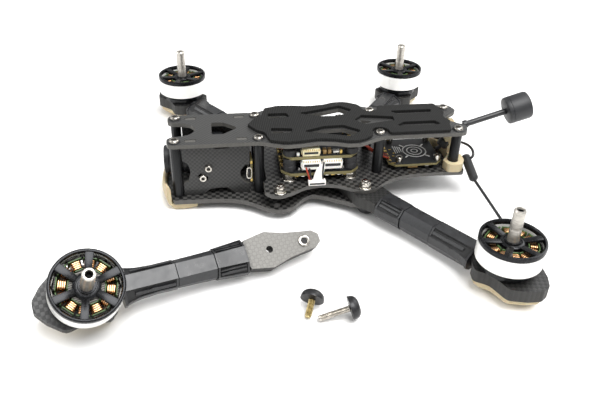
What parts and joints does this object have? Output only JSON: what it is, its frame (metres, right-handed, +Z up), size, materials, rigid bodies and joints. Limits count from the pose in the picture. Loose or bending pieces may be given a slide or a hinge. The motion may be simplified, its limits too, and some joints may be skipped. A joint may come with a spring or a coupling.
{
  "type": "quadcopter drone",
  "caption": "Small carbon racing quadcopter with battery deck, tilting nose camera and rear antenna, shown with one arm detached and its two screws beside it",
  "frame": {"origin": "underside of the bottom plate, where the two arm diagonals cross", "axes": "+X toward the tail and antenna, +Y to the drone's right, +Z up"},
  "size_m": [0.2366, 0.2178, 0.0493],
  "materials": {
    "bottom_plate": "woven carbon fibre, satin",
    "mid_plate": "woven carbon fibre, satin",
    "top_plate": "woven carbon fibre, satin",
    "battery_pad": "fine ribbed grip pad",
    "camera_plate_left": "woven carbon fibre, satin",
    "camera_plate_right": "woven carbon fibre, satin",
    "front_bumper": "printed soft plastic, matt",
    "esc_board": "satin",
    "flight_controller": "satin",
    "vtx_board": "satin",
    "antenna_mount": "printed soft plastic, matt",
    "antenna_mast": "satin",
    "antenna_cap": "satin",
    "receiver_antenna": "satin",
    "standoff_left_1": "black anodised",
    "standoff_left_2": "black anodised",
    "standoff_left_3": "black anodised",
    "standoff_left_4": "black anodised",
    "standoff_right_1": "black anodised",
    "standoff_right_2": "black anodised",
    "standoff_right_3": "black anodised",
    "standoff_right_4": "black anodised",
    "arm_front_right": "woven carbon fibre, satin",
    "sleeve_front_right": "satin",
    "foot_front_right": "printed soft plastic, matt",
    "motor_base_front_right": "black anodised",
    "stator_front_right": "copper windings",
    "dome_screw_front_right_outer": "black oxide head, plated shank",
    "dome_screw_front_right_inner": "black oxide head, plated shank",
    "arm_rear_right": "woven carbon fibre, satin",
    "sleeve_rear_right": "satin",
    "foot_rear_right": "printed soft plastic, matt",
    "motor_base_rear_right": "black anodised",
    "stator_rear_right": "copper windings",
    "dome_screw_rear_right_outer": "black oxide head, plated shank",
    "dome_screw_rear_right_inner": "black oxide head, plated shank",
    "arm_rear_left": "woven carbon fibre, satin",
    "sleeve_rear_left": "satin",
    "foot_rear_left": "printed soft plastic, matt",
    "motor_base_rear_left": "black anodised",
    "stator_rear_left": "copper windings",
    "dome_screw_rear_left_outer": "black oxide head, plated shank",
    "dome_screw_rear_left_inner": "black oxide head, plated shank",
    "bell_front_right": "black anodised with a white band",
    "shaft_front_right": "ground steel",
    "bell_rear_right": "black anodised with a white band",
    "shaft_rear_right": "ground steel",
    "bell_rear_left": "black anodised with a white band",
    "shaft_rear_left": "ground steel",
    "arm_front_left": "woven carbon fibre, satin",
    "sleeve_front_left": "satin",
    "foot_front_left": "printed soft plastic, matt",
    "motor_base_front_left": "black anodised",
    "stator_front_left": "copper windings",
    "bell_front_left": "black anodised with a white band",
    "shaft_front_left": "ground steel",
    "camera_body": "satin",
    "camera_lens": "satin",
    "dome_screw_loose_1": "black oxide head, plated shank",
    "dome_screw_loose_2": "black oxide head, plated shank"
  },
  "bodies": {
    "frame": {"bottom_plate": "bottom_plate", "mid_plate": "mid_plate", "top_plate": "top_plate", "battery_pad": "battery_pad", "camera_plate_left": "camera_plate_left", "camera_plate_right": "camera_plate_right", "front_bumper": "front_bumper", "esc_board": "esc_board", "flight_controller": "flight_controller", "vtx_board": "vtx_board", "antenna_mount": "antenna_mount", "antenna_mast": "antenna_mast", "antenna_cap": "antenna_cap", "receiver_antenna": "receiver_antenna", "standoff_left_1": "standoff_left_1", "standoff_left_2": "standoff_left_2", "standoff_left_3": "standoff_left_3", "standoff_left_4": "standoff_left_4", "standoff_right_1": "standoff_right_1", "standoff_right_2": "standoff_right_2", "standoff_right_3": "standoff_right_3", "standoff_right_4": "standoff_right_4", "arm_front_right": "arm_front_right", "sleeve_front_right": "sleeve_front_right", "foot_front_right": "foot_front_right", "motor_base_front_right": "motor_base_front_right", "stator_front_right": "stator_front_right", "dome_screw_front_right_outer": "dome_screw_front_right_outer", "dome_screw_front_right_inner": "dome_screw_front_right_inner", "arm_rear_right": "arm_rear_right", "sleeve_rear_right": "sleeve_rear_right", "foot_rear_right": "foot_rear_right", "motor_base_rear_right": "motor_base_rear_right", "stator_rear_right": "stator_rear_right", "dome_screw_rear_right_outer": "dome_screw_rear_right_outer", "dome_screw_rear_right_inner": "dome_screw_rear_right_inner", "arm_rear_left": "arm_rear_left", "sleeve_rear_left": "sleeve_rear_left", "foot_rear_left": "foot_rear_left", "motor_base_rear_left": "motor_base_rear_left", "stator_rear_left": "stator_rear_left", "dome_screw_rear_left_outer": "dome_screw_rear_left_outer", "dome_screw_rear_left_inner": "dome_screw_rear_left_inner"},
    "rotor_front_right": {"bell_front_right": "bell_front_right", "shaft_front_right": "shaft_front_right"},
    "rotor_rear_right": {"bell_rear_right": "bell_rear_right", "shaft_rear_right": "shaft_rear_right"},
    "rotor_rear_left": {"bell_rear_left": "bell_rear_left", "shaft_rear_left": "shaft_rear_left"},
    "loose_arm": {"arm_front_left": "arm_front_left", "sleeve_front_left": "sleeve_front_left", "foot_front_left": "foot_front_left", "motor_base_front_left": "motor_base_front_left", "stator_front_left": "stator_front_left"},
    "rotor_front_left": {"bell_front_left": "bell_front_left", "shaft_front_left": "shaft_front_left"},
    "camera": {"camera_body": "camera_body", "camera_lens": "camera_lens"},
    "screw_1": {"dome_screw_loose_1": "dome_screw_loose_1"},
    "screw_2": {"dome_screw_loose_2": "dome_screw_loose_2"}
  },
  "joints": [
    {"name": "rotor_front_right_spin", "type": "hinge", "parent": "frame", "child": "rotor_front_right", "pos_m": [-0.068, 0.0896, 0.015], "axis": [0, 0, 1], "continuous": true},
    {"name": "rotor_rear_right_spin", "type": "hinge", "parent": "frame", "child": "rotor_rear_right", "pos_m": [0.068, 0.0896, 0.015], "axis": [0, 0, 1], "continuous": true},
    {"name": "rotor_rear_left_spin", "type": "hinge", "parent": "frame", "child": "rotor_rear_left", "pos_m": [0.068, -0.0896, 0.015], "axis": [0, 0, 1], "continuous": true},
    {"name": "rotor_front_left_spin", "type": "hinge", "parent": "loose_arm", "child": "rotor_front_left", "pos_m": [-0.1053, -0.0883, 0.0068], "axis": [0.2387, -0.5512, 0.7995], "continuous": true},
    {"name": "camera_tilt", "type": "hinge", "parent": "frame", "child": "camera", "pos_m": [-0.0547, 0, 0.0175], "axis": [0, 1, 0], "range_deg": [-12, 12]},
    {"name": "front_left_arm_lift", "type": "slide", "parent": "frame", "child": "loose_arm", "axis": [0, 0, 1], "range_m": [0, 0.04]},
    {"name": "loose_screw_1_lift", "type": "slide", "parent": "frame", "child": "screw_1", "axis": [0, 0, 1], "range_m": [0, 0.03]},
    {"name": "loose_screw_2_lift", "type": "slide", "parent": "frame", "child": "screw_2", "axis": [0, 0, 1], "range_m": [0, 0.03]}
  ]
}
